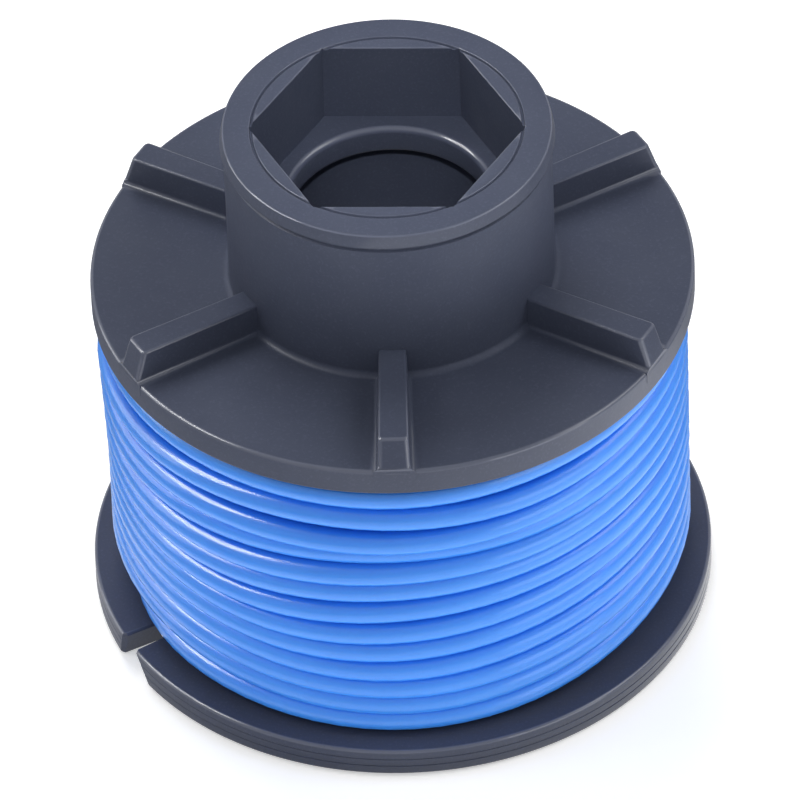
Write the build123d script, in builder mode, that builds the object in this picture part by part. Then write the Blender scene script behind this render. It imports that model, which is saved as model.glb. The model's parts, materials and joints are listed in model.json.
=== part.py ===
from build123d import *
import os
from math import sqrt

# A spool for a string trimmer: a bobbin moulded in one piece, with a hexagonal drive socket in its hub,
# and the cutting line wound on its drum. Z is the spool's axis, the lower flange stands on z = 0,
# and a corner of the hexagon points along X.

# Driving dimensions, in millimetres and degrees

# Flanges
lower_flange_radius = 19.8
lower_flange_thickness = 2.0
upper_flange_radius = 19.0
upper_flange_thickness = 1.9
flange_gap = 21.4
rim_bevel = 0.3

# Drive socket in the hub, and the round hole in its floor
hex_across_flats = 14.9
socket_depth = 5.65
socket_floor_thickness = 1.9
socket_ledge = 1.2
hole_bevel = 0.35

# Barrel: the drum between the flanges and the hub above them, hollow from below
socket_wall = 1.65
drum_wall = 1.8
hub_height = 11.65
hub_root_bevel = 0.4

# Lip round the top of the hub
lip_overhang = 0.17
lip_height = 0.9
lip_taper = 0.12

# Indexing ribs on the upper flange, evenly spaced round the hub
rib_count = 6
rib_first_angle = 32.0
rib_height = 2.2
rib_outer_width = 2.1
rib_inner_width = 1.8
rib_draft = 2.5
rib_end_inset = 0.7
rib_bevel = 0.2

# Notch in the lower rim that holds the line's loose end
notch_angle = 209.5
notch_depth = 3.7
notch_outer_width = 1.4
notch_inner_width = 1.1
notch_offset = 0.57
notch_near_lean = 0.5
notch_far_lean = 1.6
notch_mouth_bevel = 0.3

# Cutting line
line_diameter = 1.65
line_clearance = 0.1
winding_below_rim = 0.5
turn_groove = 0.55
turn_crest_width = 0.65
anchor_angle = 60.0

# Outer layer of the winding: the heights of its turns, lowest turn first, at five stations round the front,
# where the turns dip near the lower flange and climb to the right higher up
stations_per_turn = 12
first_station_angle = -147.0
turn_heights = (
    (3.7, 3.2, 2.85, 3.4, 4.1),
    (5.35, 4.7, 4.15, 5.05, 5.75),
    (6.7, 5.95, 5.55, 6.45, 7.25),
    (8.2, 7.35, 7.05, 8.25, 8.85),
    (9.4, 8.7, 8.85, 9.95, 10.85),
    (10.6, 9.95, 10.5, 11.45, 12.25),
    (11.7, 11.5, 12.5, 13.15, 13.55),
    (13.1, 13.45, 14.35, 14.7, 15.45),
    (14.5, 14.85, 15.75, 15.85, 16.65),
    (16.2, 16.75, 17.2, 17.2, 17.95),
    (17.7, 18.25, 18.05, 18.5, 19.45),
    (19.6, 20.5, 20.2, 20.05, 20.95),
    (22.0, 22.2, 21.95, 22.4, 22.5),
)

# Sizes that follow from those above
hex_corner_radius = hex_across_flats / sqrt(3)
hole_radius = hex_across_flats / 2 - socket_ledge
barrel_radius = hex_corner_radius + socket_wall
lip_radius = barrel_radius + lip_overhang
pocket_radius = barrel_radius - drum_wall
winding_radius = upper_flange_radius - winding_below_rim
winding_bore_radius = barrel_radius + line_clearance
inner_layers_radius = winding_radius - line_diameter
layer_seat_radius = inner_layers_radius - line_diameter
line_radius = line_diameter / 2
anchor_hole_radius = line_radius + line_clearance

# Heights above the face that the spool stands on
drum_bottom = lower_flange_thickness
drum_top = drum_bottom + flange_gap
flange_top = drum_top + upper_flange_thickness
rib_top = flange_top + rib_height
hub_top = flange_top + hub_height
socket_floor = hub_top - socket_depth
pocket_end = socket_floor - socket_floor_thickness
winding_bottom = drum_bottom + line_clearance
winding_top = drum_top - line_clearance
anchor_height = winding_bottom + line_diameter

# The line's first end leaves the winding at right angles to this plane and goes through the drum's wall
anchor_direction = Vector(1, 0, 0).rotate(Axis.Z, anchor_angle)
anchor_plane = Plane(
    origin=anchor_direction * (winding_bore_radius + line_diameter),
    x_dir=anchor_direction.rotate(Axis.Z, 90),
    z_dir=anchor_direction,
)

os.makedirs("parts", exist_ok=True)


def corner(sketch, radius, height):
    return sketch.vertices().sort_by_distance((radius, height))[0]


def distance_from_axis(edge):
    middle = edge @ 0.5
    return sqrt(middle.X**2 + middle.Y**2)


# Spool body: the half section is turned about Z, then the socket, ribs, notch and anchor hole are made
with BuildPart() as spool_body:
    with BuildSketch(Plane.XZ) as half_section:
        with BuildLine():
            Polyline(
                (pocket_radius, 0),
                (lower_flange_radius, 0),
                (lower_flange_radius, drum_bottom),
                (barrel_radius, drum_bottom),
                (barrel_radius, drum_top),
                (upper_flange_radius, drum_top),
                (upper_flange_radius, flange_top),
                (barrel_radius, flange_top),
                (barrel_radius, hub_top - lip_height),
                (lip_radius, hub_top - lip_height),
                (lip_radius - lip_taper, hub_top),
                (hole_radius, hub_top),
                (hole_radius, pocket_end),
                (pocket_radius, pocket_end),
                close=True,
            )
        make_face()
        chamfer(corner(half_section, lower_flange_radius, drum_bottom), length=rim_bevel)
        chamfer(corner(half_section, upper_flange_radius, flange_top), length=rim_bevel)
        chamfer(corner(half_section, barrel_radius, flange_top), length=hub_root_bevel)
    revolve(axis=Axis.Z)

    # Hexagonal socket down to its floor, where the hole's edge is broken
    with BuildSketch(Plane.XY.offset(socket_floor)):
        RegularPolygon(radius=hex_corner_radius, side_count=6)
    extrude(amount=socket_depth, mode=Mode.SUBTRACT)
    floor_edges = spool_body.edges().filter_by_position(Axis.Z, socket_floor, socket_floor)
    chamfer(floor_edges.filter_by(GeomType.CIRCLE), length=hole_bevel)

    # Ribs run from inside the hub's wall past the rim, and are then trimmed to the rim and to sloping ends
    rib_foot = flange_top - rim_bevel
    rib_root = barrel_radius - drum_wall / 2
    rib_reach = upper_flange_radius + rib_height
    trim_radius = rib_reach + rib_height
    with BuildSketch(Plane.XY.offset(rib_foot)):
        with PolarLocations(0, rib_count, start_angle=rib_first_angle):
            Polygon(
                (rib_root, -rib_inner_width / 2),
                (rib_reach, -rib_outer_width / 2),
                (rib_reach, rib_outer_width / 2),
                (rib_root, rib_inner_width / 2),
                align=None,
            )
    extrude(amount=rib_top - rib_foot, taper=rib_draft)
    with BuildSketch(Plane.XZ):
        Polygon(
            (upper_flange_radius, rib_foot),
            (upper_flange_radius, flange_top),
            (upper_flange_radius - rib_end_inset, rib_top),
            (trim_radius, rib_top),
            (trim_radius, rib_foot),
            align=None,
        )
    revolve(axis=Axis.Z, mode=Mode.SUBTRACT)
    top_edges = spool_body.edges().filter_by_position(Axis.Z, rib_top, rib_top)
    rib_edges = top_edges.filter_by(lambda e: distance_from_axis(e) > barrel_radius + rib_bevel)
    chamfer(rib_edges, length=rib_bevel)

    # Notch in the lower rim: both walls lean away towards the underside, the far one more than the near one
    notch_end = lower_flange_radius - notch_depth
    notch_mouth = lower_flange_radius - notch_mouth_bevel
    notch_outside = lower_flange_radius + notch_mouth_bevel
    for height, near_lean, far_lean in (
        (0, notch_near_lean, notch_far_lean),
        (lower_flange_thickness, 0, 0),
    ):
        near_wall = -notch_offset - near_lean
        far_wall = far_lean - notch_offset
        with BuildSketch(Plane.XY.offset(height).rotated((0, 0, notch_angle))):
            Polygon(
                (notch_end, near_wall),
                (notch_mouth, near_wall),
                (notch_outside, near_wall - 2 * notch_mouth_bevel),
                (notch_outside, far_wall + notch_outer_width + 2 * notch_mouth_bevel),
                (notch_mouth, far_wall + notch_outer_width),
                (notch_end, far_wall + notch_inner_width),
                align=None,
            )
    loft(ruled=True, mode=Mode.SUBTRACT)

    # Hole in the drum's wall for the line's first end
    with BuildSketch(anchor_plane):
        with Locations((0, anchor_height)):
            Circle(anchor_hole_radius)
    extrude(amount=-line_diameter - winding_bore_radius, mode=Mode.SUBTRACT)

spool_body.part.label = "spool_body"
export_step(spool_body.part, "parts/spool_body.step")


# Heights of the line all along the outer layer, station by station: behind the spool, each turn climbs
# evenly to the start of the next one, and the whole layer is stretched to fill the gap between the flanges
stations_in_front = len(turn_heights[0])
stations_behind = stations_per_turn - stations_in_front
line_heights = list(turn_heights[0])
for front in turn_heights[1:]:
    climb = (front[0] - line_heights[-1]) / (stations_behind + 1)
    for station in range(stations_behind):
        line_heights.append(line_heights[-1] + climb)
    line_heights.extend(front)
layer_bottom = winding_bottom + line_radius
layer_top = winding_top - line_radius
stretch = (layer_top - layer_bottom) / (max(line_heights) - min(line_heights))
lowest_height = min(line_heights)
line_heights = [layer_bottom + (height - lowest_height) * stretch for height in line_heights]
line_ends = [line_heights[0], *line_heights, line_heights[-1]]
line_heights = [(a + 4 * b + c) / 6 for a, b, c in zip(line_ends, line_ends[1:], line_ends[2:])]

# The section starts and ends at a seam behind the spool, a third of a turn before the first station
seam_lead = stations_per_turn // 3
station_angle = 360 / stations_per_turn
seam_angle = first_station_angle - seam_lead * station_angle
lead_in_climb = line_diameter / stations_per_turn


def line_height(station):
    if station < 0:
        return line_heights[0] + station * lead_in_climb
    return line_heights[min(station, len(line_heights) - 1)]


def groove_radius(half_spacing):
    # The further two turns lie apart, the deeper is the groove between them
    return winding_radius - turn_groove * half_spacing / line_radius


def winding_outline(step):
    turns = [line_height(turn * stations_per_turn - seam_lead + step) for turn in range(len(turn_heights))]
    bottom_groove = groove_radius(turns[0] - winding_bottom)
    top_groove = groove_radius(winding_top - turns[-1])
    points = [
        (layer_seat_radius, winding_top),
        (layer_seat_radius, winding_bottom),
        (bottom_groove, winding_bottom),
    ]
    for turn, height in enumerate(turns):
        if turn > 0:
            half_spacing = (height - turns[turn - 1]) / 2
            points.append((groove_radius(half_spacing), height - half_spacing))
        points.append((winding_radius, height - turn_crest_width / 2))
        points.append((winding_radius, height + turn_crest_width / 2))
    points.append((top_groove, winding_top))
    return points


# Line winding: the inner layers are a plain ring, and the outer layer is lofted round it in two halves,
# ridged by its turns as they wander. The line's first end goes inwards from the ring
with BuildPart() as line_winding:
    with BuildSketch(Plane.XZ):
        Polygon(
            (winding_bore_radius, winding_bottom),
            (inner_layers_radius, winding_bottom),
            (inner_layers_radius, winding_top),
            (winding_bore_radius, winding_top),
            align=None,
        )
    revolve(axis=Axis.Z)
    half_turn = stations_per_turn // 2
    for first_step in (0, half_turn):
        for step in range(first_step, first_step + half_turn + 1):
            outwards = Vector(1, 0, 0).rotate(Axis.Z, seam_angle + step * station_angle)
            section_plane = Plane(origin=(0, 0, 0), x_dir=outwards, z_dir=outwards.rotate(Axis.Z, -90))
            with BuildSketch(section_plane):
                Polygon(*winding_outline(step), align=None)
        loft()
    with BuildSketch(anchor_plane):
        with Locations((0, anchor_height)):
            Circle(line_radius)
    extrude(amount=-line_diameter - drum_wall)

line_winding.part.label = "line_winding"
export_step(line_winding.part, "parts/line_winding.step")
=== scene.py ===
# %% [markdown]
# A spool of cutting line for a string trimmer. The real one is two things: a dark bobbin moulded in
# one shot, and some five and a half metres of blue nylon line wound on its drum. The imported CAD
# part gives the sizes and the place of both. This lesson remakes the two pieces with the soft
# edges, the wound turns and the finishes that the plain solids leave out, then sets up a camera, a
# floor and lamps.

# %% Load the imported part
import json
from math import cos, hypot, pi, radians, sin, tan

import bmesh
import bpy
from mathutils import Matrix, Vector


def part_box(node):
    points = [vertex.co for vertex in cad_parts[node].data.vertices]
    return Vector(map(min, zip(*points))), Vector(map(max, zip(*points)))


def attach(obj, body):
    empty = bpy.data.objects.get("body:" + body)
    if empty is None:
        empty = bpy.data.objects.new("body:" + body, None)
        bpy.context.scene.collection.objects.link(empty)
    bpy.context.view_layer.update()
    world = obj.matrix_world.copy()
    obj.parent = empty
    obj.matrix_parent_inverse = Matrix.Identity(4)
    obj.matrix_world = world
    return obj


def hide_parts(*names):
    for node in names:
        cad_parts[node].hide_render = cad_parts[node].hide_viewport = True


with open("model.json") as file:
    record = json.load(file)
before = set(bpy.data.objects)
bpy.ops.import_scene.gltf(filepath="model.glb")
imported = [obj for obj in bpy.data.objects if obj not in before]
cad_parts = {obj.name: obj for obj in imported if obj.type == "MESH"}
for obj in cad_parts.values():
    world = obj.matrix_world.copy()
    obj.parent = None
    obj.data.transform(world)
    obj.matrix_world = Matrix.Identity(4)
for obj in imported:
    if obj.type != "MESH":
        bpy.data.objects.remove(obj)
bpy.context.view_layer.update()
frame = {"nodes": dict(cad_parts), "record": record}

print("CAD nodes:", sorted(frame["nodes"]))

# %% [markdown]
# The camera comes first, because it decides how large every detail appears. The picture was taken
# from far away with a long lens: the circles of the two flanges are almost equal ellipses, which
# means little perspective. The lens looks down by about 43 degrees and is rolled by two degrees, so
# the camera gets a matrix of its own directions in place of a target to track.

# %% Camera
mm = 0.001
look_down = radians(42.57)
side_step = radians(3.08)
roll = radians(-2.21)
aim_height = 25.3 * mm
distance = 709.5 * mm
shift_right = 0.165 * mm
shift_up = -8.427 * mm
focal_length, sensor_width = 508.3, 36

swing = Matrix.Rotation(side_step, 3, "Z")
back = swing @ Vector((0, -cos(look_down), sin(look_down)))
right = swing @ Vector((1, 0, 0))
up = swing @ Vector((0, sin(look_down), cos(look_down)))
eye = Vector((0, 0, aim_height)) + back * distance + right * shift_right + up * shift_up
rolled_right = right * cos(roll) + up * sin(roll)
rolled_up = up * cos(roll) - right * sin(roll)

bpy.ops.object.select_all(action="DESELECT")
bpy.ops.object.camera_add(location=eye)
camera = bpy.context.object
camera.name = "studio_camera"
directions = Matrix((rolled_right, rolled_up, back)).transposed()
camera.rotation_euler = directions.to_euler()
camera.data.sensor_width = sensor_width
camera.data.lens = focal_length
bpy.context.scene.camera = camera
print("camera at", [round(c, 4) for c in eye], "with a lens of", focal_length, "mm")

# %% [markdown]
# Modelling by operators needs three habits. Nothing may stay selected from an earlier step, faces
# and edges are picked by where they lie, and a tool shape is deleted once its Boolean is applied.
# Four small helpers keep them. All modelling is done in millimetres, as on a drawing, and each
# piece is shrunk to metres when it is finished.

# %% Helpers for modelling
def clear_selection():
    if bpy.context.object and bpy.context.object.mode != "OBJECT":
        bpy.ops.object.mode_set(mode="OBJECT")
    bpy.ops.object.select_all(action="DESELECT")


def take(piece):
    clear_selection()
    piece.select_set(True)
    bpy.context.view_layer.objects.active = piece


def pick(kind, test):
    bpy.ops.mesh.select_mode(type=kind)
    bpy.ops.mesh.select_all(action="DESELECT")
    mesh = bmesh.from_edit_mesh(bpy.context.object.data)
    elements = {"VERT": mesh.verts, "EDGE": mesh.edges, "FACE": mesh.faces}[kind]
    found = [element for element in elements if test(element)]
    for element in found:
        element.select_set(True)
    bmesh.update_edit_mesh(bpy.context.object.data)
    return len(found)


def boolean(piece, tool, operation):
    take(piece)
    bpy.ops.object.modifier_add(type="BOOLEAN")
    step = piece.modifiers[-1]
    step.operation = operation
    step.solver = "EXACT"
    step.object = tool
    bpy.ops.object.modifier_apply(modifier=step.name)
    bpy.data.objects.remove(tool, do_unlink=True)
    print(operation.lower(), "leaves", len(piece.data.polygons), "faces")


# %% [markdown]
# The bobbin is a round moulding, so it starts as a half section that is spun about the axis, like
# work on a lathe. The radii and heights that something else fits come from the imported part: its box
# gives the lower flange and the top of the hub, and its mounts give the hole and the pocket. Each
# corner has its rounding, because a mould never leaves a perfectly sharp edge, and the bright thin
# lines in the picture are light on those edges. Two fine lines run round the lower rim, and a
# narrow groove sets off the lip at the top of the hub. A plane is merged to one point, the outline
# is drawn from it with extrude, and a vertex bevel rounds the corners before the spin.

# %% Corners of the half section
mounts = {mount["name"]: mount for mount in frame["record"]["mounts"]}
body_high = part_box("spool_body")[1]
lower_flange = round(body_high.x / mm, 2)
hub_top = round(body_high.z / mm, 2)
hole = mounts["shaft_hole"]["dims"]["r_mm"]
pocket = mounts["underside_pocket"]["dims"]["r_mm"]
pocket_end = mounts["underside_pocket"]["dims"]["length_mm"]

drum_wall = 1.8
barrel = pocket + drum_wall
upper_flange = 19.0
drum_bottom, drum_top, flange_top = 2.0, 23.4, 25.3
rim_lines, rim_line_depth = [(0.68, 0.73, 0.78), (1.24, 1.29, 1.34)], 0.04
lip, lip_top, lip_height = barrel + 0.2, barrel + 0.02, 0.85
undercut, undercut_height, undercut_slope = 0.15, 0.5, 0.1
groove_outer, groove_inner, groove_depth, groove_slope = 8.58, 8.36, 0.18, 0.06
lip_bottom = hub_top - lip_height
groove_bottom = hub_top - groove_depth

# Each corner: its distance from the axis, its height and its rounding
outline = [
    (pocket, 0, 0.3),
    (lower_flange, 0, 0.2),
    *[
        (lower_flange - depth, height, 0)
        for heights in rim_lines
        for height, depth in zip(heights, (0, rim_line_depth, 0))
    ],
    (lower_flange, drum_bottom, 0.22),
    (barrel, drum_bottom, 0.4),
    (barrel, drum_top, 0.4),
    (upper_flange, drum_top, 0.2),
    (upper_flange, flange_top, 0.24),
    (barrel, flange_top, 0.45),
    (barrel, lip_bottom - undercut_height, 0),
    (barrel - undercut, lip_bottom - undercut_height + undercut_slope, 0),
    (barrel - undercut, lip_bottom, 0),
    (lip, lip_bottom, 0),
    (lip_top, hub_top, 0.1),
    (groove_outer, hub_top, 0.03),
    (groove_outer - groove_slope, groove_bottom, 0.04),
    (groove_inner + groove_slope, groove_bottom, 0.04),
    (groove_inner, hub_top, 0.03),
    (hole, hub_top, 0),
    (hole, pocket_end, 0.25),
    (pocket, pocket_end, 0.6),
]
print("outline:", len(outline), "corners")

# %% Draw the half section
same_point = 0.001

clear_selection()
bpy.ops.mesh.primitive_plane_add(size=1)
spool = bpy.context.object
spool.name = "spool"
bpy.ops.object.mode_set(mode="EDIT")
bpy.ops.mesh.merge(type="CENTER")
bpy.ops.transform.translate(value=(outline[0][0], 0, outline[0][1]))
for (r0, z0, _), (r1, z1, _) in zip(outline, outline[1:]):
    step = (r1 - r0, 0, z1 - z0)
    bpy.ops.mesh.extrude_vertices_move(TRANSFORM_OT_translate={"value": step})
ends = (outline[0][:2], outline[-1][:2])
pick("VERT", lambda v: any(hypot(v.co.x - r, v.co.z - z) < same_point for r, z in ends))
bpy.ops.mesh.edge_face_add()
for r, z, rounding in outline:
    if rounding:
        pick("VERT", lambda v: hypot(v.co.x - r, v.co.z - z) < same_point)
        bpy.ops.mesh.bevel(offset=rounding, segments=5, affect="VERTICES")
bpy.ops.object.mode_set(mode="OBJECT")
print("half section:", len(spool.data.vertices), "points")

# %% [markdown]
# Spin turns the half section once round the axis. It is rotated by half a step first, so that no
# row of its points lies under a corner of the socket, where a later cut would have to decide which
# side of a point it passes. Where the first and the last section meet, doubles are merged, and the
# normals are made to point outwards.

# %% Spin the half section
spin_steps = 180
seam = 0.0005

take(spool)
bpy.ops.object.mode_set(mode="EDIT")
bpy.ops.mesh.select_all(action="SELECT")
half_step = pi / spin_steps
bpy.ops.transform.rotate(value=half_step, orient_axis="Z", center_override=(0, 0, 0))
bpy.ops.mesh.spin(steps=spin_steps, angle=2 * pi, center=(0, 0, 0), axis=(0, 0, 1))
bpy.ops.mesh.select_all(action="SELECT")
bpy.ops.mesh.remove_doubles(threshold=seam)
bpy.ops.mesh.normals_make_consistent(inside=False)
bpy.ops.object.mode_set(mode="OBJECT")
print("turned bobbin:", len(spool.data.polygons), "faces")

# %% [markdown]
# Six ribs stand on the upper flange. They index the spool in its head, so they have a little draft,
# a sloping outer end that starts flush with the rim, and rounded edges. One rib is made from a
# cube: its top is narrowed, its outer end is pushed in at the top, and its foot is widened in small
# steps, as a fillet, and sunk into the flange. Two bevels follow, a large one up the corners of the
# outer end and a smaller one all along the top. It is then copied to six places round the axis, and
# the copies are joined and united with the bobbin.

# %% One rib
rib_inner, rib_outer, rib_height = 9.5, 18.97, 2.2
foot_width, draft, end_slope, inner_share = 2.06, 0.07, 0.6, 0.88
end_rounding, top_rounding = 0.32, 0.18
foot_rounding, foot_sunk = 0.3, 0.8
foot_steps = [(0.14, 1.04), (0.1, 1.09), (0.06, 1.13)]
rib_top = flange_top + rib_height
half_out, half_up = (rib_outer + rib_inner) / 2, flange_top + rib_height / 2

clear_selection()
rib_size = (rib_outer - rib_inner, foot_width, rib_height)
bpy.ops.mesh.primitive_cube_add(size=1, location=(half_out, 0, half_up), scale=rib_size)
rib = bpy.context.object
bpy.ops.object.transform_apply(location=True, rotation=True, scale=True)
bpy.ops.object.mode_set(mode="EDIT")
pick("VERT", lambda v: v.co.z > half_up)
bpy.ops.transform.resize(value=(1, 1 - draft, 1), center_override=(0, 0, 0))
pick("VERT", lambda v: v.co.x < half_out)
bpy.ops.transform.resize(value=(1, inner_share, 1), center_override=(0, 0, 0))
pick("VERT", lambda v: v.co.z > half_up and v.co.x > half_out)
bpy.ops.transform.translate(value=(-end_slope, 0, 0))
pick("FACE", lambda f: f.normal.z < -0.9)
bpy.ops.transform.translate(value=(0, 0, foot_rounding))
for drop, wider in foot_steps:
    bpy.ops.mesh.extrude_region_move(TRANSFORM_OT_translate={"value": (0, 0, -drop)})
    bpy.ops.transform.resize(value=(1, wider, 1), center_override=(0, 0, 0))
bpy.ops.mesh.extrude_region_move(TRANSFORM_OT_translate={"value": (0, 0, -foot_sunk)})


def up_the_end(edge):
    a, b = (v.co for v in edge.verts)
    return min(a.x, b.x) > half_out and abs(a.z - b.z) > rib_height / 2


def along_the_top(edge):
    a, b = (v.co for v in edge.verts)
    return min(a.z, b.z) > rib_top - same_point and max(a.x, b.x) > half_out


pick("EDGE", up_the_end)
bpy.ops.mesh.bevel(offset=end_rounding, segments=5, affect="EDGES")
pick("EDGE", along_the_top)
bpy.ops.mesh.bevel(offset=top_rounding, segments=4, affect="EDGES")
bpy.ops.object.mode_set(mode="OBJECT")
print("rib:", len(rib.data.polygons), "faces")

# %% Six ribs on the flange
rib_count, first_rib = 6, 32
ribs = []
for place in range(rib_count):
    take(rib)
    bpy.ops.object.duplicate()
    copy = bpy.context.object
    copy.rotation_euler = (0, 0, radians(first_rib + 360 / rib_count * place))
    bpy.ops.object.transform_apply(location=True, rotation=True, scale=True)
    ribs.append(copy)
bpy.data.objects.remove(rib, do_unlink=True)
take(ribs[0])
for copy in ribs[1:]:
    copy.select_set(True)
bpy.ops.object.join()
boolean(spool, ribs[0], "UNION")

# %% [markdown]
# The hub takes a six-sided boss of the trimmer head. Its socket is cut with a six-sided cylinder,
# one corner along X, and leaves a ledge with a round hole below. The hexagon's mouth catches light
# as a thin line, so it is rounded. A bevel after the cut would trip over the fine groove that runs
# round the socket, so the cutter itself is flared: its top is extruded and widened in small steps,
# and the cut leaves the rounding behind. The hole's edge is clear of everything, so there a plain
# bevel does.

# %% Hexagonal socket
across_flats, socket_depth = 14.9, 5.65
socket_floor = hub_top - socket_depth
apothem = across_flats / 2
mouth_rounding, clear_above = 0.09, 0.4
flare_steps = [(radians(t), radians(t + 25)) for t in (0, 25, 50)]

clear_selection()
shaft_height = socket_depth - mouth_rounding
bpy.ops.mesh.primitive_cylinder_add(
    vertices=6,
    radius=apothem / cos(pi / 6),
    depth=shaft_height,
    location=(0, 0, socket_floor + shaft_height / 2),
    rotation=(0, 0, pi / 6),
)
cutter = bpy.context.object
bpy.ops.object.transform_apply(location=True, rotation=True, scale=True)
bpy.ops.object.mode_set(mode="EDIT")
pick("FACE", lambda f: f.normal.z > 0.9)
reach = apothem
for start, end in flare_steps:
    rise = mouth_rounding * (sin(end) - sin(start))
    wider = reach + mouth_rounding * (cos(start) - cos(end))
    bpy.ops.mesh.extrude_region_move(TRANSFORM_OT_translate={"value": (0, 0, rise)})
    bpy.ops.transform.resize(value=(wider / reach, wider / reach, 1), center_override=(0, 0, 0))
    reach = wider
wider = reach + clear_above * tan(flare_steps[-1][1])
bpy.ops.mesh.extrude_region_move(TRANSFORM_OT_translate={"value": (0, 0, clear_above)})
bpy.ops.transform.resize(value=(wider / reach, wider / reach, 1), center_override=(0, 0, 0))
bpy.ops.object.mode_set(mode="OBJECT")
boolean(spool, cutter, "DIFFERENCE")

# %% Edge of the hole in the socket's floor
hole_rounding = 0.4
floor_play, hole_play = 0.005, 0.02


def on_hole_edge(edge):
    places = [v.co for v in edge.verts]
    at_floor = all(abs(place.z - socket_floor) < floor_play for place in places)
    return at_floor and all(abs(hypot(place.x, place.y) - hole) < hole_play for place in places)


take(spool)
bpy.ops.object.mode_set(mode="EDIT")
hole_edges = pick("EDGE", on_hole_edge)
bpy.ops.mesh.bevel(offset=hole_rounding, segments=5, affect="EDGES")
bpy.ops.object.mode_set(mode="OBJECT")
print("edge of the hole:", hole_edges, "edges rounded")

# %% [markdown]
# A notch in the lower rim grips the loose end of the line. Its walls lean outwards towards the
# underside, one more than the other, and its edges are broken. The cutting tool is a cube, as high
# as the flange, that is pulled into that shape: the lower edges of both walls are moved out and the
# inner end is narrowed. Then its top is widened by a chamfer, its underside is drawn out below the
# flange, and its outer face is drawn out past the rim and flared.

# %% Notch in the lower rim
notch_angle = 209.5
notch_end, notch_mouth = lower_flange - 3.7, lower_flange - 0.3
near_wall, far_wall = -0.57, 0.83
near_lean, far_lean, narrowing = 0.5, 1.6, 0.3
chamfer, overshoot, flare = 0.14, 0.4, 0.75
half_in, half_height = (notch_end + notch_mouth) / 2, drum_bottom / 2

clear_selection()
bpy.ops.mesh.primitive_cube_add(
    size=1,
    location=(half_in, (near_wall + far_wall) / 2, half_height),
    scale=(notch_mouth - notch_end, far_wall - near_wall, drum_bottom),
)
notch = bpy.context.object
bpy.ops.object.transform_apply(location=True, rotation=True, scale=True)
bpy.ops.object.mode_set(mode="EDIT")
pick("VERT", lambda v: v.co.y < 0 and v.co.z < half_height)
bpy.ops.transform.translate(value=(0, -near_lean, 0))
pick("VERT", lambda v: v.co.y > 0 and v.co.z < half_height)
bpy.ops.transform.translate(value=(0, far_lean, 0))
pick("VERT", lambda v: v.co.y > 0 and v.co.x < half_in)
bpy.ops.transform.translate(value=(0, -narrowing, 0))
pick("FACE", lambda f: f.normal.z > 0.9)
bpy.ops.transform.translate(value=(0, 0, -chamfer))
bpy.ops.mesh.extrude_region_move(TRANSFORM_OT_translate={"value": (0, 0, chamfer + overshoot)})
pick("VERT", lambda v: v.co.z > drum_bottom and v.co.y < 0)
bpy.ops.transform.translate(value=(0, -chamfer - overshoot, 0))
pick("VERT", lambda v: v.co.z > drum_bottom and v.co.y > 0)
bpy.ops.transform.translate(value=(0, chamfer + overshoot, 0))
pick("FACE", lambda f: f.normal.z < -0.9)
bpy.ops.mesh.extrude_region_move(TRANSFORM_OT_translate={"value": (0, 0, -overshoot)})
pick("FACE", lambda f: f.normal.x > 0.9)
bpy.ops.mesh.extrude_region_move(TRANSFORM_OT_translate={"value": (flare, 0, 0)})
pick("VERT", lambda v: v.co.x > lower_flange and v.co.y < 0)
bpy.ops.transform.translate(value=(0, -flare, 0))
pick("VERT", lambda v: v.co.x > lower_flange and v.co.y > 0)
bpy.ops.transform.translate(value=(0, flare, 0))
bpy.ops.object.mode_set(mode="OBJECT")
notch.rotation_euler = (0, 0, radians(notch_angle))
take(notch)
bpy.ops.object.transform_apply(location=True, rotation=True, scale=True)
boolean(spool, notch, "DIFFERENCE")

# %% [markdown]
# The line's first end has to be held, and on such spools it goes through a small hole in the drum's
# wall. The hole is hidden under the winding and only shows from inside the pocket.

# %% Anchor hole in the drum
line_diameter = 1.65
anchor_angle, anchor_height = 60, 3.75
hole_clearance, drill_length = 0.1, 4
anchor_middle = barrel - drum_wall / 2

clear_selection()
bpy.ops.mesh.primitive_cylinder_add(
    vertices=40,
    radius=line_diameter / 2 + hole_clearance,
    depth=drill_length,
    location=(
        anchor_middle * cos(radians(anchor_angle)),
        anchor_middle * sin(radians(anchor_angle)),
        anchor_height,
    ),
    rotation=(0, pi / 2, radians(anchor_angle)),
)
boolean(spool, bpy.context.object, "DIFFERENCE")

# %% [markdown]
# Handling polishes and lightens the edges of a moulding first, and the rounded edges catch thin
# highlights. The lighter colour that the material gives them is therefore partly wear and partly a
# painted highlight. The material will need to know where they are, so each corner of the narrow
# faces that the roundings left gets a mark. The faces are told apart by their width, and hollow
# roundings are left out by the sign of the angle between faces. Faces that look downwards get no
# mark. The mark fades to nothing where a rounding meets a flat face. The two rims and the side of
# the hub's lip have a smoother skin, so their faces get a second mark. On the rims it grows towards
# the right, on the lip towards the front, where they have rubbed against something. It could be
# painted by hand as well, but a formula stays right when a size changes.

# %% Mark the edges
widest_edge, least_bend, facing_down = 0.2, radians(6), -0.1


def mark_edges(piece):
    mesh = bmesh.new()
    mesh.from_mesh(piece.data)
    narrow = set()
    for face in mesh.faces:
        width = face.calc_area() / max(edge.calc_length() for edge in face.edges)
        bends_out = any(edge.calc_face_angle_signed(0) > least_bend for edge in face.edges)
        if width < widest_edge and bends_out and face.normal.z > facing_down:
            narrow.add(face)
    # This mark carries both the edge wear and the painted edge highlight
    marks = mesh.loops.layers.float.new("edge_wear_and_highlight")
    for face in narrow:
        for loop in face.loops:
            loop[marks] = float(all(near in narrow for near in loop.vert.link_faces))
    mesh.to_mesh(piece.data)
    mesh.free()
    return len(narrow)


print("narrow faces on edges:", mark_edges(spool))

# %% Mark the rims and the lip
rubbed_side, front = Vector((0.94, -0.34)), Vector((0, -1))
steep_rim, steep_lip, rim_depth = 0.2, 0.3, 0.1


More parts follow.
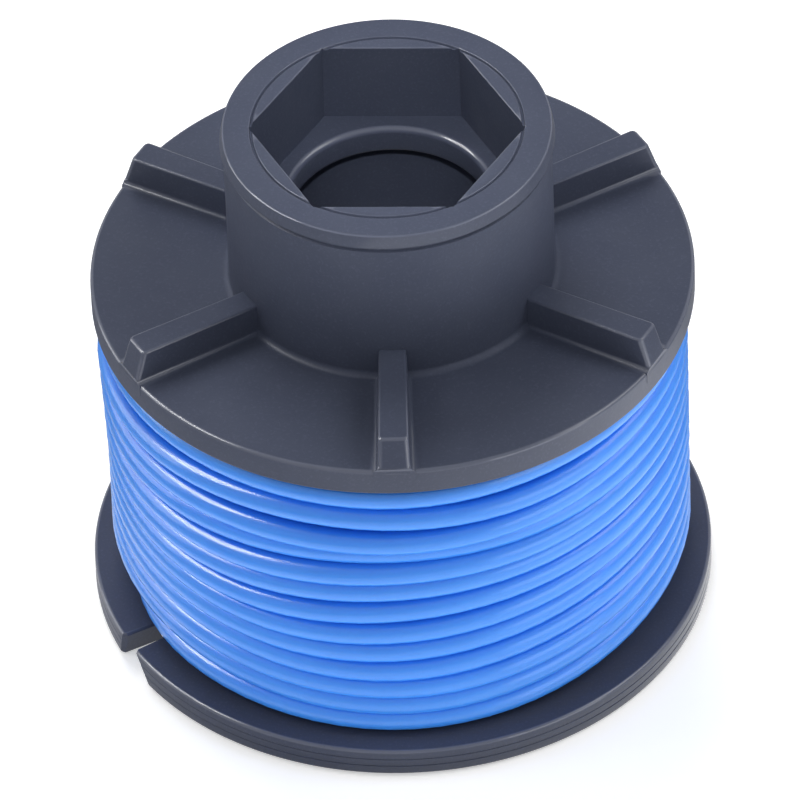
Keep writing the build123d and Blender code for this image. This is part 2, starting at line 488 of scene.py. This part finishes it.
def mark_rims(piece):
    mesh = bmesh.new()
    mesh.from_mesh(piece.data)
    marks = mesh.loops.layers.float.new("rim_polish")
    marked = 0
    for face in mesh.faces:
        place, slope = face.calc_center_median(), abs(face.normal.z)
        radius = place.xy.length
        on_rim = slope < steep_rim and radius > upper_flange - rim_depth
        on_lip = slope < steep_lip and radius > barrel and place.z > lip_bottom
        marked += on_rim or on_lip
        for loop in face.loops:
            outwards = loop.vert.co.xy.normalized()
            if on_rim:
                loop[marks] = max(0, outwards.dot(rubbed_side))
            elif on_lip:
                loop[marks] = max(0, outwards.dot(front)) ** 3
    mesh.to_mesh(piece.data)
    mesh.free()
    return marked


print("faces of the rims and the lip:", mark_rims(spool))

# %% [markdown]
# The drawing was in millimetres, so the finished piece is shrunk to metres. Faces that meet at a
# small angle are shaded as one smooth surface, and weighted normals keep the large faces flat
# beside their narrow roundings. Then the piece takes the place of the plain solid.

# %% Finish the bobbin's mesh
smooth_below = radians(32)


def to_metres(piece):
    take(piece)
    piece.scale = (mm, mm, mm)
    bpy.ops.object.transform_apply(location=True, rotation=True, scale=True)


to_metres(spool)
bpy.ops.object.shade_smooth_by_angle(angle=smooth_below)
bpy.ops.object.modifier_add(type="WEIGHTED_NORMAL")
spool.modifiers[-1].keep_sharp = True
bpy.ops.object.modifier_apply(modifier=spool.modifiers[-1].name)
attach(spool, "root")
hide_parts("spool_body")
print("spool:", len(spool.data.polygons), "faces")

# %% [markdown]
# The line is one long cord that stays on the drum, so all its turns are one spline. It comes
# through the anchor hole, climbs the drum in five layers that go up and down in turn, and its turns
# lie a line's thickness apart. Only the outer layer shows. A machine winds it fast, so its turns
# wander: they dip at the front, rise to the right, and lie closer in some places than in others.
# Those heights are read off the picture, turn by turn, at five places round the front. Round the
# back, each turn goes on to the next one above it. Towards the top on the left the turns lie a
# little further out, and one turn has slipped in behind its neighbours at the front.

# %% Sizes of the winding
first_radius, outer_radius = barrel + 0.925, 17.7
layer_count, steps_per_layer = 5, 142
layer_rise = (outer_radius - first_radius) / (layer_count - 1)
lowest, highest = 2.925, 22.475
first_station, station_step, back_stations = -147, 30, 7
first_end = barrel - 1.2

# Heights of the outer turns at five places round the front, from the left to the right
turn_heights = [
    (3.7, 3.2, 2.85, 3.45, 4.5),
    (5.35, 4.7, 4.15, 5.05, 5.9),
    (6.7, 5.95, 5.55, 6.45, 7.25),
    (8.2, 7.35, 7.05, 8.25, 8.85),
    (9.4, 8.7, 8.85, 9.95, 10.85),
    (10.6, 9.95, 10.5, 11.45, 12.25),
    (11.7, 11.5, 12.5, 13.15, 13.55),
    (13.1, 13.45, 14.35, 14.7, 15.45),
    (14.5, 14.85, 15.75, 15.85, 16.65),
    (16.2, 16.75, 17.2, 17.2, 17.95),
    (17.7, 18.25, 18.05, 18.5, 19.45),
    (19.6, 20.5, 20.2, 20.05, 20.95),
    (22.0, 22.2, 21.95, 22.4, 22.5),
]

print("outer layer:", len(turn_heights), "turns")

# %% Places of the outer turns
bulge, bulge_from, bulge_over, bulge_side = 0.4, 12, 10, 175
last_turn_from, last_turn_share = 21.2, 0.2
tucked_turn, tucks, no_tucks = 9, (0, 0.3, 0.45, 0.3, 0), (0, 0, 0, 0, 0)

# A spline of degree three runs inside its control points: with twelve to a turn, by this share
inside = (2 + cos(radians(station_step))) / 3


def outer_turn(angle, height, tuck=0):
    # The last turn is held by the flange, so it bulges less
    share = max(0, height - bulge_from) / bulge_over
    if height >= last_turn_from:
        share = last_turn_share
    further_out = bulge * share * max(0, cos(radians(angle - bulge_side)))
    return (outer_radius + further_out - tuck) / inside


print("spline's share of the radius:", round(inside, 4))

# %% Path of the line
inner_steps = (layer_count - 1) * steps_per_layer
whole_turns = round(inner_steps * station_step / 360)
inner_step = (whole_turns * 360 + first_station - anchor_angle) / inner_steps
path = [(first_end, anchor_angle, anchor_height), (barrel, anchor_angle, anchor_height)]
angle = anchor_angle
for layer in range(layer_count - 1):
    radius = first_radius + layer * layer_rise
    for number in range(steps_per_layer):
        share = number / (steps_per_layer - 1)
        height = lowest + (highest - lowest) * (share if layer % 2 == 0 else 1 - share)
        path.append((radius / inside, angle, height))
        angle += inner_step
for turn_number, heights in enumerate(turn_heights):
    for height, tuck in zip(heights, tucks if turn_number == tucked_turn else no_tucks):
        path.append((outer_turn(angle, height, tuck), angle, height))
        angle += station_step
    if turn_number + 1 < len(turn_heights):
        rise = turn_heights[turn_number + 1][0] - heights[-1]
        for place in range(1, back_stations + 1):
            height = heights[-1] + rise * place / (back_stations + 1)
            path.append((outer_turn(angle, height), angle, height))
            angle += station_step
path.append((outer_turn(angle, highest), angle, highest))
# At its end, the spline runs through the control point itself
path.append((outer_radius / cos(radians(station_step / 2)), angle + station_step, highest))
path.append((outer_radius, angle + 2 * station_step, highest))
print("path:", len(path), "control points,", round(inner_step, 3), "degrees apart inside")

# %% [markdown]
# The path becomes a NURBS spline of degree three, which is smooth however few points it has. A
# round bevel of the curve gives the line its thickness, and caps close its two ends. Made a mesh,
# it keeps the curve's own map, which runs along the line and round it.

# %% Wind the line
clear_selection()
bpy.ops.curve.primitive_nurbs_path_add()
winding = bpy.context.object
winding.name = "winding"
curve = winding.data
curve.splines.clear()
spline = curve.splines.new("NURBS")
spline.points.add(len(path) - 1)
for point, (radius, angle, height) in zip(spline.points, path):
    point.co = (radius * cos(radians(angle)), radius * sin(radians(angle)), height, 1)
spline.order_u = 4
spline.use_endpoint_u = True
curve.resolution_u = 6
curve.dimensions = "3D"
line_length = spline.calc_length()
curve.bevel_depth = line_diameter / 2
curve.bevel_resolution = 5
curve.use_fill_caps = True
take(winding)
bpy.ops.object.convert(target="MESH")
winding = bpy.context.object
to_metres(winding)
bpy.ops.object.shade_smooth()
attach(winding, "root")
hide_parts("line_winding")
line_metres = round(line_length * mm, 2)
print("winding:", len(winding.data.polygons), "faces,", line_metres, "m of line")
print("UV maps:", [layer.name for layer in winding.data.uv_layers])

# %% [markdown]
# Both finishes need the same two things: soft patches, where hands and the mould have left the
# surface a little glossier or duller, and a fine grain. They go into one shared group, which only
# puts out values. It is given a position in millimetres, so that its sizes mean something: patches
# of some six millimetres, grain of a fifth of one.

# %% Shared group for patches and grain
def add_node(tree, kind, label, **settings):
    node = tree.nodes.new(kind)
    node.label = label
    for name, value in settings.items():
        setattr(node, name, value)
    return node


def noise(tree, label, vector, scale, detail, roughness=0.5):
    node = add_node(tree, "ShaderNodeTexNoise", label)
    tree.links.new(vector, node.inputs["Vector"])
    node.inputs["Scale"].default_value = scale
    node.inputs["Detail"].default_value = detail
    node.inputs["Roughness"].default_value = roughness
    return node.outputs["Fac"]


def spread(tree, label, value, low, high, new_low=0.0, new_high=1.0):
    node = add_node(tree, "ShaderNodeMapRange", label, clamp=True)
    tree.links.new(value, node.inputs["Value"])
    node.inputs["From Min"].default_value = low
    node.inputs["From Max"].default_value = high
    node.inputs["To Min"].default_value = new_low
    node.inputs["To Max"].default_value = new_high
    return node.outputs["Result"]


finish = bpy.data.node_groups.new("patches_and_grain", "ShaderNodeTree")
finish.interface.new_socket("Position", in_out="INPUT", socket_type="NodeSocketVector")
finish.interface.new_socket("Patches", in_out="OUTPUT", socket_type="NodeSocketFloat")
finish.interface.new_socket("Grain", in_out="OUTPUT", socket_type="NodeSocketFloat")
way_in = add_node(finish, "NodeGroupInput", "in")
way_out = add_node(finish, "NodeGroupOutput", "out")
patches = noise(finish, "soft patches", way_in.outputs["Position"], 0.16, 5, 0.6)
grain = noise(finish, "fine grain", way_in.outputs["Position"], 5.0, 2, 0.6)
finish.links.new(spread(finish, "spread patches", patches, 0.3, 0.7), way_out.inputs["Patches"])
finish.links.new(spread(finish, "spread grain", grain, 0.25, 0.75), way_out.inputs["Grain"])
print("shared group:", finish.name, "with", len(finish.nodes), "nodes")

# %% [markdown]
# The plastic is a slate-coloured moulding compound with a satin skin. Three things keep it from
# looking like paint. The mould was turned, so faint rings and lines run round the axis: a noise
# that only knows the distance from the axis and the height gives them. The patches vary colour and
# gloss. The marked edges are worn smooth and a little lighter, more in some patches than in others.
# That lighter colour is partly wear and partly a painted highlight. The marked rims get a clear
# coat, which mirrors the paper.

# %% Helpers for materials
def new_material(name):
    material = bpy.data.materials.new(name)
    material.use_nodes = True
    return material, material.node_tree


def mix_colours(tree, label, share, first, second):
    node = add_node(tree, "ShaderNodeMix", label, data_type="RGBA")
    tree.links.new(share, node.inputs["Factor"])
    for socket, colour in ((node.inputs[6], first), (node.inputs[7], second)):
        if isinstance(colour, tuple):
            socket.default_value = (*colour, 1)
        else:
            tree.links.new(colour, socket)
    return node.outputs[2]


def calculate(tree, label, operation, first, second):
    node = add_node(tree, "ShaderNodeMath", label, operation=operation)
    for socket, value in zip(node.inputs, (first, second)):
        if isinstance(value, (int, float)):
            socket.default_value = value
        else:
            tree.links.new(value, socket)
    return node.outputs[0]


def millimetres(tree, coordinate):
    place = add_node(tree, "ShaderNodeTexCoord", "where on the piece")
    scale = add_node(tree, "ShaderNodeVectorMath", "to millimetres", operation="SCALE")
    tree.links.new(place.outputs[coordinate], scale.inputs[0])
    scale.inputs["Scale"].default_value = 1000
    return scale.outputs[0]


def patches_and_grain(tree, position):
    group = add_node(tree, "ShaderNodeGroup", "patches and grain", node_tree=finish)
    tree.links.new(position, group.inputs["Position"])
    return group.outputs["Patches"], group.outputs["Grain"]


# %% Material of the bobbin
slate, light_slate = (0.055, 0.064, 0.099), (0.064, 0.074, 0.11)
# The lighter colour of the marked edges is partly wear and partly a painted highlight
pale_grain, worn_highlit_slate = (0.1, 0.115, 0.17), (0.085, 0.097, 0.145)
dull_skin, satin_skin, worn_smoother = 0.47, 0.37, 0.2
rim_coat = 0.55

plastic, tree = new_material("spool_plastic_skin")
skin = tree.nodes["Principled BSDF"]
skin.inputs["Specular IOR Level"].default_value = 0.1
position = millimetres(tree, "Object")
patches, grain = patches_and_grain(tree, position)

split = add_node(tree, "ShaderNodeSeparateXYZ", "split")
tree.links.new(position, split.inputs[0])
flat = add_node(tree, "ShaderNodeCombineXYZ", "flat position")
tree.links.new(split.outputs["X"], flat.inputs["X"])
tree.links.new(split.outputs["Y"], flat.inputs["Y"])
from_axis = add_node(tree, "ShaderNodeVectorMath", "distance from the axis", operation="LENGTH")
tree.links.new(flat.outputs[0], from_axis.inputs[0])
turned = add_node(tree, "ShaderNodeCombineXYZ", "turned position")
tree.links.new(from_axis.outputs["Value"], turned.inputs["X"])
tree.links.new(split.outputs["Z"], turned.inputs["Y"])
rings = noise(tree, "turned rings", turned.outputs[0], 2.6, 3)

worn = add_node(tree, "ShaderNodeAttribute", "marked edges", attribute_name="edge_wear_and_highlight")
unevenness = spread(tree, "worn patches", patches, 0, 1, 0.7, 1)
wear_and_highlight = calculate(tree, "uneven wear", "MULTIPLY", worn.outputs["Fac"], unevenness)

compound = mix_colours(tree, "compound", patches, slate, light_slate)
grains = spread(tree, "pale grains", grain, 0.55, 1, 0, 0.3)
speckled = mix_colours(tree, "grain", grains, compound, pale_grain)
# Marked edges are lightened: partly wear, partly a painted highlight along the edges
colour = mix_colours(tree, "worn edges", wear_and_highlight, speckled, worn_highlit_slate)
tree.links.new(colour, skin.inputs["Base Color"])

gloss = spread(tree, "gloss of patches", patches, 0, 1, dull_skin, satin_skin)
smoother = calculate(tree, "wear_and_highlight", "MULTIPLY", wear_and_highlight, worn_smoother)
roughness = calculate(tree, "smooth edges", "SUBTRACT", gloss, smoother)
tree.links.new(roughness, skin.inputs["Roughness"])
rims = add_node(tree, "ShaderNodeAttribute", "marked rims", attribute_name="rim_polish")
polish = calculate(tree, "half polished", "MULTIPLY", rims.outputs["Fac"], rim_coat)
tree.links.new(calculate(tree, "polish", "MAXIMUM", wear_and_highlight, polish), skin.inputs["Coat Weight"])
skin.inputs["Coat Roughness"].default_value = 0.1
fine_relief = calculate(tree, "less grain", "MULTIPLY", grain, 0.6)
relief = calculate(tree, "grain and rings", "ADD", fine_relief, rings)
bump = add_node(tree, "ShaderNodeBump", "relief")
bump.inputs["Strength"].default_value = 0.16
bump.inputs["Distance"].default_value = 0.00004
tree.links.new(relief, bump.inputs["Height"])
tree.links.new(bump.outputs["Normal"], skin.inputs["Normal"])
spool.data.materials.clear()
spool.data.materials.append(plastic)
print(plastic.name, "has", len(tree.nodes), "nodes")

# %% [markdown]
# The line is extruded nylon, coloured right through. It leaves its die smooth and glossy, with
# faint lines along its length, and its blue shifts a little from metre to metre. The winding's own
# map runs along the line in one direction and round it in the other, so it tells the two apart.

# %% Material of the line
blue, light_blue = (0.042, 0.26, 0.85), (0.052, 0.285, 0.89)
pale_blue, dull_blue = (0.08, 0.33, 0.92), (0.03, 0.17, 0.72)
smoothest_line, roughest_line = 0.2, 0.26
map_length = 160

nylon, tree = new_material("line_nylon_skin")
skin = tree.nodes["Principled BSDF"]
skin.inputs["Subsurface Weight"].default_value = 0.15
skin.inputs["Subsurface Radius"].default_value = (0.3, 0.7, 1)
skin.inputs["Subsurface Scale"].default_value = 0.0008
patches, grain = patches_and_grain(tree, millimetres(tree, "Object"))

place = add_node(tree, "ShaderNodeTexCoord", "map of the line")
split = add_node(tree, "ShaderNodeSeparateXYZ", "along and round")
tree.links.new(place.outputs["UV"], split.inputs[0])
turn = calculate(tree, "angle round the line", "MULTIPLY", split.outputs["Y"], 2 * pi)
drawn = add_node(tree, "ShaderNodeCombineXYZ", "drawn position")
tree.links.new(calculate(tree, "across", "COSINE", turn, 0), drawn.inputs["X"])
tree.links.new(calculate(tree, "up", "SINE", turn, 0), drawn.inputs["Y"])
along = calculate(tree, "along", "MULTIPLY", split.outputs["X"], map_length)
tree.links.new(along, drawn.inputs["Z"])
die_lines = noise(tree, "die lines", drawn.outputs[0], 1.6, 3)

compound = mix_colours(tree, "blue", patches, blue, light_blue)
pale = spread(tree, "pale die lines", die_lines, 0.5, 0.75, 0, 0.1)
streaked = mix_colours(tree, "die lines in the blue", pale, compound, pale_blue)
dull = spread(tree, "dull grains", grain, 0.6, 1, 0, 0.12)
tree.links.new(mix_colours(tree, "grain", dull, streaked, dull_blue), skin.inputs["Base Color"])
gloss = spread(tree, "gloss", die_lines, 0.3, 0.7, smoothest_line, roughest_line)
tree.links.new(gloss, skin.inputs["Roughness"])
bump = add_node(tree, "ShaderNodeBump", "relief")
bump.inputs["Strength"].default_value = 0.012
bump.inputs["Distance"].default_value = 0.00003
tree.links.new(die_lines, bump.inputs["Height"])
tree.links.new(bump.outputs["Normal"], skin.inputs["Normal"])
winding.data.materials.clear()
winding.data.materials.append(nylon)
print(nylon.name, "has", len(tree.nodes), "nodes")

# %% [markdown]
# The picture was taken on white paper, in soft light from all round and hardly any shadow. Paper in
# such a picture comes out white. Brighter lamps would do that too, but they would bleach the
# object, so the floor only adds a little glow for the camera, and the object's own shadow stays.
# The line mirrors the paper at its foot, as a pale band along the lower edge of each turn. That band
# and the dark rims on the left are a painted reflection. Seen in mirrors only, the paper's colour is
# painted dim all over, and it glows in front of the spool and on its right, so it looks dim behind
# it and far out on the left.

# %% Floor
# The paper's colour and glow as seen in mirrors are a painted reflection
paper_white, paper_painted_dim_in_mirrors = (0.9, 0.9, 0.9), (0.25, 0.25, 0.25)
camera_glow, painted_mirror_glow = 0.42, (0.15, 1.25)
front_edge, left_edge = (0.02, -0.005), (-0.042, -0.026)
floor_drop = 0.0002

clear_selection()
bpy.ops.mesh.primitive_plane_add(size=4, location=(0, 0, -floor_drop))
floor = bpy.context.object
floor.name = "studio_floor"
paper, tree = new_material("studio_paper")
sheet = tree.nodes["Principled BSDF"]
sheet.inputs["Roughness"].default_value = 0.9
rays = add_node(tree, "ShaderNodeLightPath", "rays")
place = add_node(tree, "ShaderNodeTexCoord", "where on the paper")
split = add_node(tree, "ShaderNodeSeparateXYZ", "split")
tree.links.new(place.outputs["Object"], split.inputs[0])
# Painted reflection: in mirrors only, the paper is painted dim and glows in front and to the right
in_front = spread(tree, "in front of the spool", split.outputs["Y"], *front_edge)
to_the_right = spread(tree, "to the right", split.outputs["X"], *left_edge, *painted_mirror_glow)
mirrored = rays.outputs["Is Glossy Ray"]
colour = mix_colours(tree, "dim in mirrors", mirrored, paper_white, paper_painted_dim_in_mirrors)
tree.links.new(colour, sheet.inputs["Base Color"])
seen = rays.outputs["Is Camera Ray"]
white = calculate(tree, "white for the camera", "MULTIPLY", seen, camera_glow)
painted_glow_side = calculate(tree, "lit side", "MULTIPLY", in_front, to_the_right)
bright = calculate(tree, "lit side in mirrors", "MULTIPLY", mirrored, painted_glow_side)
sheet.inputs["Emission Color"].default_value = (1, 1, 1, 1)
tree.links.new(calculate(tree, "glow", "ADD", white, bright), sheet.inputs["Emission Strength"])
floor.data.materials.append(paper)
print("floor:", floor.name)

# %% [markdown]
# A photographer lights such a dark, glossy thing with cards and softboxes, each for one purpose.
# Here the main light comes from behind and above, a weaker one stands over the camera, and one at
# each side fills in: these give the surfaces their brightness. Three more are only there to be
# mirrored: a bright one at the left draws the streaks along the turns and the edges, and two low
# ones put a sheen on the sides. Small cards on the floor throw light up under the upper flange, and
# a narrow spot reaches into the socket. One helper makes all but the spot. It is given the
# brightness of the lamp's face, so that a larger lamp of the same brightness gives more light but
# no brighter mirror image.

# %% Softboxes and cards
def softbox(name, place, aim, size, brightness, lights="both"):
    clear_selection()
    bpy.ops.object.light_add(type="AREA", location=place)
    lamp = bpy.context.object
    lamp.name = name
    lamp.data.shape = "SQUARE"
    lamp.data.size = size
    lamp.data.energy = brightness * pi * size * size
    lamp.rotation_euler = (Vector(aim) - Vector(place)).to_track_quat("-Z", "Y").to_euler()
    lamp.visible_camera = False
    lamp.visible_glossy = lights != "surfaces"
    lamp.visible_diffuse = lights != "reflections"
    print(name, "gives", round(lamp.data.energy, 2), "W")


middle = (0, 0, 0.018)
softbox("softbox_left", (-0.57, 0.0, 0.58), middle, 0.25, 3)
softbox("softbox_right", (0.55, 0.02, 0.56), middle, 0.4, 3.2)
softbox("softbox_back", (-0.22, 0.58, 0.85), middle, 0.5, 6.6, "surfaces")
softbox("softbox_front", (-0.13, -0.8, 1.04), middle, 0.45, 2.4, "surfaces")
softbox("streak_left", (-0.57, 0.0, 0.58), middle, 0.34, 27, "reflections")
softbox("sheen_left", (-0.75, 0.15, 0.2), middle, 0.55, 3.4, "reflections")
softbox("sheen_right", (0.6, -0.48, 0.14), middle, 0.5, 2.6, "reflections")
softbox("bounce_left", (-0.06, -0.022, 0.0008), (-0.06, -0.022, 1), 0.06, 0.7, "surfaces")
softbox("bounce_front", (0.0, -0.052, 0.0008), (0.0, -0.052, 1), 0.06, 1, "surfaces")
softbox("bounce_right", (0.058, -0.028, 0.0008), (0.058, -0.028, 1), 0.06, 2, "surfaces")

# %% Spot on the socket
spot_radius = 6.1 * mm

clear_selection()
bpy.ops.object.light_add(type="SPOT", location=(0.03, -0.5, 0.56))
snoot = bpy.context.object
snoot.name = "snoot_on_the_socket"
socket_middle = Vector((0, 0, hub_top * mm))
towards = socket_middle - snoot.location
snoot.rotation_euler = towards.to_track_quat("-Z", "Y").to_euler()
snoot.data.spot_size = 2 * spot_radius / towards.length
snoot.data.spot_blend = 0.25
snoot.data.shadow_soft_size = 0.01
snoot.data.energy = 26
snoot.visible_glossy = False
print(snoot.name, "gives", snoot.data.energy, "W")

# %% [markdown]
# The rest of the light comes from the world, as from the pale walls of a room. It is weak as a
# lamp, and white where it is seen or mirrored. Colours are shown as they are, with no film look.

# %% World
room_light, room_seen = 0.4, 1.0

world = bpy.data.worlds.new("studio_world")
bpy.context.scene.world = world
world.use_nodes = True
tree = world.node_tree
rays = add_node(tree, "ShaderNodeLightPath", "rays")
room = tree.nodes["Background"]
room.inputs["Color"].default_value = (1, 1, 1, 1)
camera_ray, glossy_ray = rays.outputs["Is Camera Ray"], rays.outputs["Is Glossy Ray"]
seen = calculate(tree, "seen or mirrored", "MAXIMUM", camera_ray, glossy_ray)
strength = spread(tree, "white where it is seen", seen, 0, 1, room_light, room_seen)
tree.links.new(strength, room.inputs["Strength"])
bpy.context.scene.view_settings.view_transform = "Standard"
print("world:", world.name)

# %% [markdown]
# The last cell brings the scene up to date.

# %% Bring the scene up to date
bpy.context.view_layer.update()
